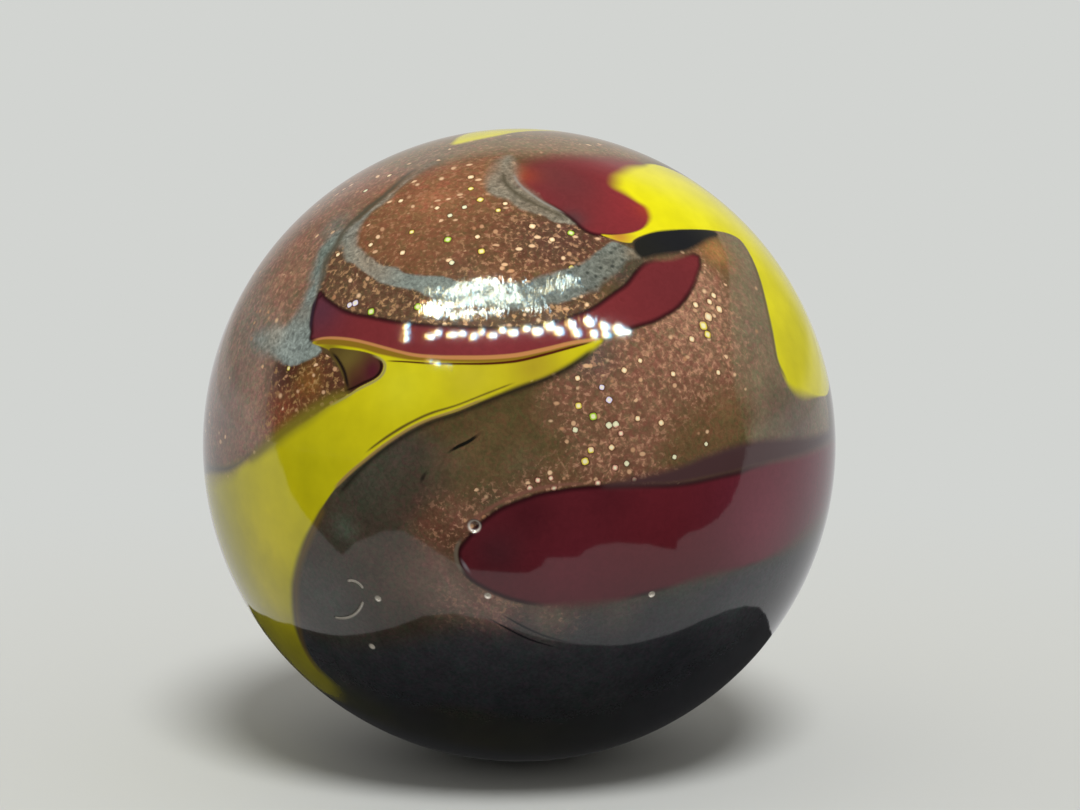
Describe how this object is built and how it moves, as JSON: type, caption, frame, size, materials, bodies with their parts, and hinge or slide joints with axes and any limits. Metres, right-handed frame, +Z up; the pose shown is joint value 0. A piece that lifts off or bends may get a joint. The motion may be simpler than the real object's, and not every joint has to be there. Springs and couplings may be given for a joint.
{
  "type": "glass marble",
  "caption": "Round marble of opaque glass with folded ribbons of lemon, oxblood, grey and copper-flecked brown.",
  "frame": {"origin": "middle of the ball", "axes": "+Z up as the marble sits in its stand, -Y towards the side that shows the main lemon ribbon"},
  "size_m": [0.017, 0.017, 0.017],
  "materials": {
    "marble_glass": "opaque glass, fire polished, in swirls of lemon, oxblood, copper-flecked brown, stone grey and near-black"
  },
  "bodies": {
    "root": {"marble": "marble_glass"}
  },
  "joints": []
}
